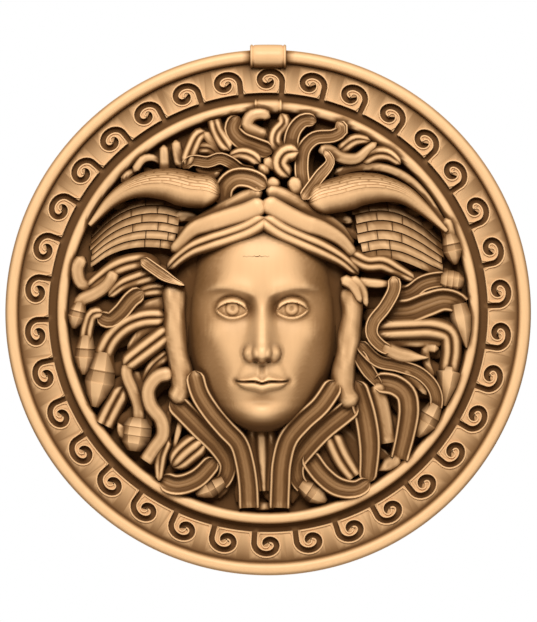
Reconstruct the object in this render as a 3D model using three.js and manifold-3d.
// Gorgon mask roundel: a winged, snake-haired head carved in high relief on a round wall plaque.
// It is one carved solid, flat at the back, in millimetres with +Z up. The origin is the middle of
// the flat back and the carving faces -Y. Everything is drawn first as x, y and height above the back.
import * as THREE from 'three';
import { mergeVertices } from 'three/addons/utils/BufferGeometryUtils.js';
import Module from 'manifold-3d';

const wasm = await Module();
wasm.setup();

// Board and mouldings
const roundelRadius = 200; // outside of the rim moulding
const backChamfer = 2;
const rimTube = 5; // radius of the round rim moulding
const rimCrest = 22; // its height above the back
const bandHeight = 15.5; // face of the band between the two mouldings
const grooveDepth = 3.5; // depth of the scroll grooves and of the sunk ring inside the band
const bandWidth = 22.8; // from the rim moulding to the foot of the scrolls
const sunkRing = 6.2; // width of the sunk ring between the scrolls and the inner moulding
const innerTube = 4.4; // radius of the inner moulding
const innerCrest = 21;
const floorHeight = 8; // floor of the well behind the carving
const rimCollarLength = 27.5;
const rimCollarGrow = 4; // how much the rim collar stands out from its moulding
const innerCollarLength = 21;
const innerCollarGrow = 1.6;
const collarBead = 2.3; // length of the bead at each end of a collar

// Scroll band
const scrollCount = 34;
const scrollMargin = 4.6; // plain strip between the rim moulding and the scrolls
const scrollGroove = 4.2; // width of a scroll's groove
const scrollEye = 1.6; // radius of the groove at its inner end
const scrollFill = 0.655; // share of the pitch that one scroll takes
const scrollSteps = 5;

// Carving. Places are in hundredths of the well's radius, heights in hundredths of the carving's depth.
const carvingDepth = 64; // from the floor of the well to the tip of the nose
const headAcross = -3; // the head sits a little left of the middle
const headLift = -3; // and a little below it
const headStretch = 1.07; // height of the face over its design height
const lathed = 40; // sides of the turned board, a multiple of four so that it meets its full width
const lockStep = 32; // spacing of the sections along a lock, in millimetres

const rimCentre = roundelRadius - rimTube;
const bandOuter = roundelRadius - 2 * rimTube;
const scrollFoot = bandOuter - bandWidth;
const innerCentre = scrollFoot - sunkRing - innerTube;
const wellRadius = innerCentre - innerTube;
const groundHeight = bandHeight - grooveDepth;
const rootHeight = floorHeight * 0.6; // carved pieces start here, inside the board
const scrollReach = (bandWidth - scrollMargin) / 2; // radius of the groove where it enters the scroll
const scrollMiddle = scrollFoot + scrollReach;
const scrollPitch = 2 * Math.PI * scrollMiddle / scrollCount;
const scrollStretch = (scrollFill * scrollPitch - scrollGroove) / (1.5 * scrollReach + scrollEye / 2);
const across = wellRadius / 100;
const depth = carvingDepth / 100;

const { clamp, lerp, smoothstep } = THREE.MathUtils;
const bump = (value, centre, spread) => Math.exp(-(((value - centre) / spread) ** 2));

// Straight runs between [at, value] pairs
function along(pairs, at) {
  const next = pairs.findIndex(([place]) => place >= at);
  if (next === 0) return pairs[0][1];
  if (next < 0) return pairs.at(-1)[1];
  const [[a, from], [b, to]] = [pairs[next - 1], pairs[next]];
  return lerp(from, to, (at - a) / (b - a));
}

// A closed three.js geometry as a solid that can be joined or cut
function solid(geometry) {
  const bare = geometry.clone();
  bare.deleteAttribute('normal');
  bare.deleteAttribute('uv');
  const merged = mergeVertices(bare, 1e-3);
  return new wasm.Manifold(new wasm.Mesh({
    numProp: 3,
    vertProperties: new Float32Array(merged.attributes.position.array),
    triVerts: new Uint32Array(merged.index.array),
  }));
}

// A closed skin over rings of points that turn the same way, with a fan over each end
function skin(rings) {
  const around = rings[0].length;
  const faces = [];
  for (let i = 0; i + 1 < rings.length; i++) {
    for (let j = 0; j < around; j++) {
      const a = i * around + j;
      const b = i * around + ((j + 1) % around);
      faces.push(a, b, b + around, a, b + around, a + around);
    }
  }
  const last = (rings.length - 1) * around;
  for (let j = 1; j + 1 < around; j++) {
    faces.push(0, j + 1, j, last, last + j, last + j + 1);
  }
  const geometry = new THREE.BufferGeometry();
  geometry.setAttribute('position', new THREE.Float32BufferAttribute(rings.flat(2), 3));
  geometry.setIndex(faces);
  const piece = solid(geometry);
  return piece.volume() > 0 ? piece : solid(geometry.setIndex(faces.reverse()));
}

const arc = (centre, height, radius, steps) => Array.from({ length: steps + 1 }, (_, i) => {
  const angle = Math.PI * i / steps;
  return new THREE.Vector2(centre + radius * Math.cos(angle), height + radius * Math.sin(angle));
});

// The board, turned in one piece with its two round mouldings, the band and the sunk ring
function board() {
  const profile = [
    new THREE.Vector2(0, 0),
    new THREE.Vector2(roundelRadius - backChamfer, 0),
    new THREE.Vector2(roundelRadius, backChamfer),
    ...arc(rimCentre, rimCrest - rimTube, rimTube, 5),
    new THREE.Vector2(bandOuter, bandHeight),
    new THREE.Vector2(scrollFoot, bandHeight),
    new THREE.Vector2(scrollFoot, groundHeight),
    new THREE.Vector2(innerCentre + innerTube, groundHeight),
    ...arc(innerCentre, innerCrest - innerTube, innerTube, 3),
    new THREE.Vector2(wellRadius, floorHeight),
    new THREE.Vector2(0, floorHeight),
  ];
  return solid(new THREE.LatheGeometry(profile, lathed).rotateX(Math.PI / 2));
}

// One groove of the running scroll: in from the sunk ring, up and round to the eye
function scrollCut(turn) {
  const path = [[scrollReach * scrollStretch, -scrollReach - scrollGroove]];
  for (let i = 0; i <= scrollSteps; i++) {
    const angle = 2 * Math.PI * i / scrollSteps;
    const radius = lerp(scrollReach, scrollEye, i / scrollSteps);
    path.push([radius * Math.cos(angle) * scrollStretch, radius * Math.sin(angle)]);
  }
  const rings = path.map(([u, v], i) => {
    const [u0, v0] = path[Math.max(i - 1, 0)];
    const [u1, v1] = path[Math.min(i + 1, path.length - 1)];
    const side = new THREE.Vector2(v0 - v1, u1 - u0).setLength(scrollGroove / 2);
    const edge = (way, height) => {
      const radius = scrollMiddle + v + side.y * way;
      const angle = Math.PI / 2 - turn - (u + side.x * way) / scrollMiddle;
      return [radius * Math.cos(angle), radius * Math.sin(angle), height];
    };
    const above = bandHeight + grooveDepth;
    return [edge(1, groundHeight), edge(-1, groundHeight), edge(-1, above), edge(1, above)];
  });
  return skin(rings);
}

// A barrel clasped round a moulding at twelve o'clock, with a thin bead at each end
function collar(radius, height, tube, grow, length) {
  const half = length / 2;
  const bead = tube + grow;
  const barrel = bead * 0.95;
  const profile = [
    [0, -half], [bead * 0.9, -half], [bead, -half + collarBead / 2], [barrel, -half + collarBead],
    [barrel * 1.04, 0],
    [barrel, half - collarBead], [bead, half - collarBead / 2], [bead * 0.9, half], [0, half],
  ].map(([r, z]) => new THREE.Vector2(r, z));
  const turned = new THREE.LatheGeometry(profile, 12);
  return solid(turned.rotateZ(Math.PI / 2).translate(0, radius, height));
}

// A smooth line through a few places in the well
function curveThrough(places) {
  const points = places.map(([x, y]) => new THREE.Vector3(x * across, y * across, 0));
  return new THREE.CatmullRomCurve3(points, false, 'centripetal');
}

// Sections of a lock from one foot over the top to the other: place across and drop below the crest,
// both in half-widths. A broad lock has one groove along its middle.
const groovedSection = [[-1, 0.9], [-0.55, 0.1], [0, 0.34], [0.55, 0.1], [1, 0.9]];
const roundSection = [[-1, 1], [-0.6, 0.2], [0.6, 0.2], [1, 1]];
const thinSection = [[-1, 0.9], [0, 0], [1, 0.9]];
const broadLock = 8;
const headLong = 1.7; // length of a snake's head over its width

// A lock of hair or a snake: width and crest along its way, with a wedge-shaped head where it has one
function lock({ width, crest, way, head = 0, round = false, tip = 0.6 }) {
  const curve = curveThrough(way);
  const length = curve.getLength();
  const steps = Math.max(2, Math.round(length / lockStep));
  const headShare = head ? clamp(headLong * head * across / length, 0.1, 0.6) : 0;
  const stops = Array.from({ length: steps + 1 }, (_, i) => i / steps * (1 - headShare));
  if (head) stops.push(1 - headShare * 0.55, 1);
  const bare = width < broadLock ? thinSection : groovedSection;
  const section = round ? roundSection : bare;
  const rings = stops.map((t) => {
    const spot = curve.getPointAt(t);
    const ahead = curve.getTangentAt(t);
    const neck = 1 - headShare;
    let half = width * across / 2;
    if (head && t > neck) {
      half = along([[neck, width], [1 - headShare * 0.55, head], [1, head * 0.3]], t) * across / 2;
    } else if (!head) {
      half *= lerp(1, tip, smoothstep(t, 0.55, 1));
    }
    const top = floorHeight + depth * lerp(crest[0], crest[1], t);
    const place = (side, height) => [spot.x - ahead.y * half * side, spot.y + ahead.x * half * side, height];
    const over = section.map(([side, drop]) => place(side, top - drop * half));
    return [place(-1, rootHeight), ...over, place(1, rootHeight)];
  });
  return skin(rings);
}

// The face: v runs up and u across from the head's own axis
const faceWide = 38; // half-width at the cheekbones
const faceEdge = 20; // height of the face's outer edge
const facePlane = [[-53, 30], [-50, 56], [-46, 68], [-40, 70], [-29, 70], [-10, 70], [8, 71], [20, 72],
  [32, 68], [42, 58], [50, 46]];
const eye = { across: 15, up: 4, width: 7.6, height: 4.4 };
const nose = { tip: -15.4, root: 9, base: -19.5, rise: 28.5 };
const mouth = { line: -29.3, width: 12.5 };
const chin = -44;
const halfColumns = [0.1, 0.2, 0.33, 0.46, 0.6, 0.8, 1]; // shares of the half-width, closer at the nose
const faceColumns = [...halfColumns.map((share) => -share).reverse(), 0, ...halfColumns];
const faceRows = [
  -53, -49, chin - 2, chin + 2, chin + 7,
  ...[-4.5, -2.5, 0, 2, 4.5].map((off) => mouth.line + off),
  nose.base - 1.5, nose.base, nose.tip - 1, nose.tip + 3, -7,
  ...[-1.3, -0.8, 0, 0.8, 1.3].map((share) => eye.up + share * eye.height),
  13, 17, 24, 33, 48,
];

// Half-width of the face at height v: broad at the cheekbones, an egg towards the chin
function faceHalfWidth(v) {
  const low = Math.max(1 - Math.max(-v / 53.5, 0) ** 2.3, 0) ** 0.56;
  const high = Math.max(1 - Math.max(v / 60, 0) ** 2.2, 0) ** 0.5;
  return faceWide * Math.min(low, high);
}

// The nose: a ridge that rises from the root to the tip, with a wing at each side
function noseHeight(u, v) {
  if (v > 20) return 0;
  const ridge = clamp((nose.root - v) / (nose.root - nose.tip), 0, 1);
  const below = smoothstep(v, nose.base - 1.5, nose.tip);
  const bridge = lerp(2, nose.rise, ridge ** 1.2) * bump(u, 0, lerp(4, 5.6, ridge)) * below;
  return bridge + 12 * bump(Math.abs(u), 6.6, 3) * bump(v, nose.tip - 0.5, 3.4);
}

function eyeHeight(side, v) {
  const ball = 1 - ((side - eye.across) / eye.width) ** 2 - ((v - eye.up) / eye.height) ** 2;
  const hollow = bump(side, eye.across - 1, 10) * bump(v, eye.up, 6.2);
  return 8 * Math.sqrt(Math.max(ball, 0)) - 9 * hollow;
}

function faceHeight(u, v) {
  const side = Math.abs(u);
  const share = clamp(side / Math.max(faceHalfWidth(v), 1), 0, 1);
  const base = lerp(faceEdge, along(facePlane, v), (1 - share ** 2.4) ** 0.6);
  const browLine = 10.5 + 3 * bump(side, 17, 12);
  const brow = 3 * bump(v, browLine, 3) * smoothstep(side, 2, 6) * (1 - smoothstep(side, 22, 32));
  const cheek = 5 * bump(side, 25, 10) * bump(v, -7, 10) - 3 * bump(side, 21, 7) * bump(v, -27, 9);
  const upperLip = 7 * bump(v, mouth.line + 2.4, 2);
  const lowerLip = 6 * bump(v, mouth.line - 3.2, 2.6);
  const lips = Math.max(1 - (side / mouth.width) ** 2, 0) * (upperLip + lowerLip);
  const chinBall = 7 * bump(v, chin, 5) * bump(u, 0, 8.5) - 4 * bump(v, chin + 7, 3) * bump(u, 0, 9);
  return base + brow + eyeHeight(side, v) + noseHeight(u, v) + cheek + lips + chinBall;
}

// The face and the front of the neck as one patch over the board
function face() {
  const rings = faceRows.map((v) => {
    const half = Math.max(faceHalfWidth(v), 6);
    const place = (u, height) => [(headAcross + u) * across, (v * headStretch + headLift) * across, height];
    const line = faceColumns.map((share) => {
      const u = half * share;
      return place(u, floorHeight + depth * faceHeight(u, v));
    });
    return [...line, place(half, rootHeight), place(-half, rootHeight)];
  });
  return skin(rings);
}

// The mass of the head under the hair: half an egg, with its half-widths, middle and height
const skullSize = { across: 50, up: 62, middle: 8, crest: 46 };

function skull() {
  const steps = 4;
  const quarter = Array.from({ length: steps + 1 }, (_, i) => {
    const angle = Math.PI / 2 * i / steps;
    return new THREE.Vector2(Math.cos(angle), Math.sin(angle));
  });
  quarter.at(-1).x = 0;
  const dome = new THREE.LatheGeometry([new THREE.Vector2(0, 0), ...quarter], 14).rotateX(Math.PI / 2);
  const high = floorHeight - rootHeight + skullSize.crest * depth;
  dome.scale(skullSize.across * across, skullSize.up * across, high);
  return solid(dome.translate(headAcross * across, skullSize.middle * across, rootHeight));
}

// Hair combed from the parting to the temples, front strands last
const curtains = [
  { width: 7, crest: [68, 42], way: [[-3, 60], [-19, 53], [-38, 42.5], [-45, 36]] },
  { width: 9, crest: [80, 46], way: [[-1.5, 54], [-19.5, 47], [-37, 41], [-48, 30]] },
  { width: 9, crest: [78, 42], way: [[-1.5, 46.5], [-19.5, 38], [-38, 31.5], [-50, 21.5]] },
  { width: 7, crest: [68, 42], way: [[-1, 60.5], [15, 54.5], [36, 41], [42, 33]] },
  { width: 9, crest: [80, 46], way: [[-2.5, 55], [17, 44.5], [36, 36], [43, 28]] },
  { width: 9, crest: [78, 42], way: [[-2.5, 46.5], [16.5, 36], [37, 26], [45, 19]] },
  { width: 8.5, crest: [48, 34], way: [[40, 29], [49, 24.5], [60, 23.5], [73, 16.5]] },
];

// Thick round snakes that frame the cheeks and cross under the jaw
const cheekSnakes = [
  {
    width: 10.5, crest: [50, 44], round: true, tip: 1,
    way: [[-47, 15], [-46.5, -8], [-44, -30], [-47, -45]],
  },
  {
    width: 10.5, crest: [42, 22], head: 10.5,
    way: [[-48, -43], [-34, -57.5], [-20, -76], [-22.5, -84], [-36, -91]],
  },
  { width: 10.5, crest: [50, 44], round: true, tip: 1, way: [[41, 14], [41, -8], [37.4, -30], [43, -47]] },
  {
    width: 10.5, crest: [42, 22], head: 10.5,
    way: [[44, -45], [27.5, -58.5], [14, -76], [15, -84], [29, -94.5]],
  },
];

// Locks that hang under the jaw and in front of the neck
const jawLocks = [
  {
    width: 9.5, crest: [50, 24], tip: 1,
    way: [[-37, -29], [-29, -49], [-15, -65], [-10, -86], [-9.5, -97.5]],
  },
  { width: 10, crest: [50, 24], tip: 1, way: [[34, -34], [17.5, -54], [7, -75], [5.6, -97.5]] },
  { width: 16, crest: [34, 22], tip: 0.42, way: [[-3.8, -50], [-3, -70], [-2, -89]] },
];

const leftLocks = [
  { width: 9, crest: [28, 42], way: [[-90, 12], [-75, 22.5], [-60, 25], [-55, 20]] },
  { width: 6.5, crest: [36, 30], head: 9, way: [[-76, 21], [-80, 14], [-93, 6], [-97, -8]] },
  { width: 6.5, crest: [30, 26], way: [[-92, 28], [-94, 18], [-88, 12]] },
  { width: 8, crest: [44, 32], way: [[-55, 20], [-73.5, 13], [-79.5, 8]] },
  { width: 8.5, crest: [46, 34], tip: 0.9, way: [[-50, 11.5], [-66, 8], [-75, -2], [-85, -1.5]] },
  { width: 7, crest: [34, 28], head: 10.5, way: [[-83, 0], [-90, -7], [-92, -31]] },
  { width: 7.5, crest: [36, 34], tip: 1, way: [[-50, 5.5], [-66, 0]] },
  { width: 9.5, crest: [44, 32], head: 15, way: [[-51, -2.5], [-71, -6.5], [-82, -21], [-86.5, -47]] },
  { width: 10, crest: [46, 40], tip: 0.9, way: [[-48, -8.5], [-60, -17.5], [-72, -27]] },
  { width: 6, crest: [38, 32], head: 14, way: [[-70, -25], [-68, -39], [-65, -56], [-67, -68]] },
  { width: 6.5, crest: [36, 30], way: [[-49, -20], [-56.5, -26], [-62.5, -35]] },
  {
    width: 7, crest: [46, 32], tip: 1,
    way: [[-47, -30], [-58, -36], [-57, -48], [-52.4, -61], [-61, -74]],
  },
  { width: 10, crest: [26, 24], tip: 1, way: [[-72, -37], [-77, -46], [-82, -56]] },
  { width: 6, crest: [34, 24], way: [[-50, -63], [-53.5, -72], [-54.5, -84]] },
  { width: 13, crest: [38, 30], tip: 0.85, way: [[-32, -63], [-41, -70], [-48, -77]] },
  { width: 10, crest: [24, 30], tip: 0.9, way: [[-54, -83], [-42, -86], [-26, -73]] },
];

const rightLocks = [
  { width: 7, crest: [54, 34], tip: 0.2, way: [[62, 18], [62, 10], [51.5, -8], [60, -19], [80, -22.5]] },
  { width: 8, crest: [38, 30], head: 10.5, way: [[60, 8], [77, 14.5], [97.5, 15]] },
  { width: 12.5, crest: [42, 30], head: 10.5, way: [[56, 1], [72, 1.5], [88, 6.5], [96, 3], [99, -17.5]] },
  {
    width: 11, crest: [44, 28], head: 12.5,
    way: [[52, -9], [70.7, -8], [90, -10], [91.5, -20], [88, -46.5]],
  },
  { width: 6, crest: [34, 26], way: [[58, -14.5], [87, -15.5]] },
  {
    width: 6.5, crest: [44, 28], head: 11,
    way: [[45, -15], [56, -24.5], [75.5, -30.4], [84, -44], [74.5, -62]],
  },
  { width: 7, crest: [42, 34], way: [[44, -19], [48.5, -27], [56, -37]] },
  { width: 10.5, crest: [40, 24], tip: 0.85, way: [[52, -34.5], [66, -38], [70, -50], [65.5, -73]] },
  { width: 7.5, crest: [38, 26], tip: 1, way: [[54, -35], [57.5, -50], [60, -65]] },
  { width: 11, crest: [42, 22], tip: 0.8, way: [[43, -34], [48.5, -52], [50.5, -67], [49.5, -85]] },
  { width: 10, crest: [36, 24], tip: 0.9, way: [[31, -60], [37, -73], [43, -82]] },
  { width: 10, crest: [30, 22], tip: 0.8, way: [[19, -70], [31, -85], [50.5, -84]] },
  { width: 6.5, crest: [34, 28], head: 9.5, way: [[88, 47], [90.5, 38], [93.5, 24]] },
];

const crownLocks = [
  { width: 5, crest: [38, 30], tip: 0.9, way: [[-51.5, 70], [-52, 83.5]] },
  { width: 5.5, crest: [36, 30], tip: 0.9, way: [[-43.5, 72], [-46.2, 86]] },
  { width: 7, crest: [42, 32], way: [[-41, 73], [-36, 87], [-28.5, 87], [-19, 77]] },
  { width: 8, crest: [44, 30], tip: 0.8, way: [[-19, 80.5], [-27, 96]] },
  { width: 9, crest: [52, 30], tip: 0.85, way: [[2, 79.5], [-11, 84], [-17.8, 91.5], [-15, 98]] },
  { width: 6.5, crest: [40, 36], tip: 0.8, way: [[0, 87.5], [-10, 92], [-8, 98], [1, 97]] },
  { width: 6, crest: [50, 40], tip: 0.9, way: [[-6, 69.5], [-18.7, 74.5], [-42.5, 72.5]] },
  { width: 7, crest: [54, 44], way: [[-4, 74], [-12, 79], [-19.5, 77.5]] },
  { width: 9.5, crest: [70, 54], tip: 0.95, way: [[-1, 62], [-16, 67], [-22.5, 53]] },
  { width: 7, crest: [52, 38], tip: 0.9, way: [[7.5, 79], [3.4, 86], [6.5, 99]] },
  { width: 7.5, crest: [50, 36], tip: 0.9, way: [[11.5, 80], [12.5, 90], [24, 95.5]] },
  { width: 7, crest: [62, 36], tip: 0.9, way: [[17.5, 62], [17, 79], [33, 88], [34.3, 95]] },
  { width: 6.5, crest: [38, 30], way: [[35, 80], [43.5, 86], [51, 85.5]] },
  { width: 6, crest: [46, 34], way: [[25, 80], [42, 76.5], [54, 84.5]] },
  { width: 6, crest: [66, 50], way: [[17, 56], [28, 71], [28, 80.5]] },
  { width: 7.5, crest: [36, 30], way: [[46, 75], [56, 79], [66, 74]] },
  { width: 9, crest: [68, 58], tip: 0.9, way: [[15, 79.5], [6, 75], [10.5, 67]] },
  { width: 7, crest: [66, 60], tip: 0.9, way: [[2.2, 67], [2.4, 59]] },
];

// A wing: the swollen shoulder, and under it the long feathers, each a step below the last
const wings = [
  {
    roll: [[-24, 58], [-39, 61], [-55, 64.5], [-70.5, 60.6], [-89, 43.5]],
    upper: [[-44, 55.5], [-54, 58], [-66, 56.5], [-77, 50.5], [-88, 40.5]],
    lower: [[-47, 31], [-57, 32.3], [-68, 31.8], [-78, 29], [-87.5, 23]],
  },
  {
    roll: [[20, 54], [36, 58.8], [52, 62], [67.5, 58.8], [89, 40.5]],
    upper: [[42.5, 53.5], [53, 55.5], [64, 54], [75, 48.5], [86.5, 38.5]],
    lower: [[48, 25], [58, 26.5], [68, 24.7], [77, 21.5], [86.5, 17.5]],
  },
];
const rollWidth = [[0, 13], [0.12, 17.5], [0.3, 18], [0.5, 13], [0.75, 7], [1, 2.5]];
const rollCrest = [70, 34]; // crest of the shoulder beside the head and at the wing's tip
const featherCrest = [52, 32]; // crest of the uppermost feather at the same two places
const featherBands = 5;
const featherStep = 3; // drop from one feather to the next

function wingRoll({ roll }) {
  const curve = curveThrough(roll);
  const steps = 8;
  const sides = 5;
  const rings = Array.from({ length: steps + 1 }, (_, i) => {
    const t = i / steps;
    const spot = curve.getPointAt(t);
    const ahead = curve.getTangentAt(t);
    const half = along(rollWidth, t) * across / 2 * (i === 0 ? 0.6 : 1);
    const top = floorHeight + depth * lerp(rollCrest[0], rollCrest[1], t);
    const place = (side, height) => [spot.x - ahead.y * half * side, spot.y + ahead.x * half * side, height];
    const over = Array.from({ length: sides + 1 }, (_, k) => {
      const angle = Math.PI * k / sides;
      return place(-Math.cos(angle), top - half + half * Math.sin(angle));
    });
    return [place(-1, rootHeight), ...over, place(1, rootHeight)];
  });
  return skin(rings);
}

function wingFeathers({ upper, lower }) {
  const rings = upper.map(([x0, y0], i) => {
    const [x1, y1] = lower[i];
    const t = i / (upper.length - 1);
    const base = lerp(featherCrest[0], featherCrest[1], t);
    const over = [];
    for (let k = 0; k < featherBands; k++) {
      const high = floorHeight + depth * (base - k * featherStep);
      for (const [share, height] of [[k, high - depth * featherStep], [k + 1, high]]) {
        const s = share / featherBands;
        over.push([lerp(x0, x1, s) * across, lerp(y0, y1, s) * across, height]);
      }
    }
    return [[x0 * across, y0 * across, rootHeight], ...over, [x1 * across, y1 * across, rootHeight]];
  });
  return skin(rings);
}

// The scrolls are cut into the bare board, then everything carved on it is joined to it
function carving() {
  let whole = board();
  for (let i = 0; i < scrollCount; i++) whole = whole.subtract(scrollCut(i * 2 * Math.PI / scrollCount));
  const pieces = [skull(), face()];
  pieces.push(collar(rimCentre, rimCrest - rimTube, rimTube, rimCollarGrow, rimCollarLength));
  pieces.push(collar(innerCentre, innerCrest - innerTube, innerTube, innerCollarGrow, innerCollarLength));
  for (const wing of wings) pieces.push(wingRoll(wing), wingFeathers(wing));
  for (const group of [curtains, cheekSnakes, jawLocks, leftLocks, rightLocks, crownLocks]) {
    pieces.push(...group.map(lock));
  }
  for (const piece of pieces) whole = whole.add(piece);
  return whole;
}

const result = carving().getMesh();
const geometry = new THREE.BufferGeometry();
geometry.setAttribute('position', new THREE.BufferAttribute(result.vertProperties, 3));
geometry.setIndex([...result.triVerts]);
geometry.rotateX(Math.PI / 2);
geometry.computeVertexNormals();

const wood = new THREE.MeshStandardMaterial({ color: 0xc79a66, roughness: 0.45, metalness: 0 });
const roundel = new THREE.Mesh(geometry, wood);
roundel.name = 'gorgon_roundel';

const part = new THREE.Group();
part.add(roundel);
export default part;
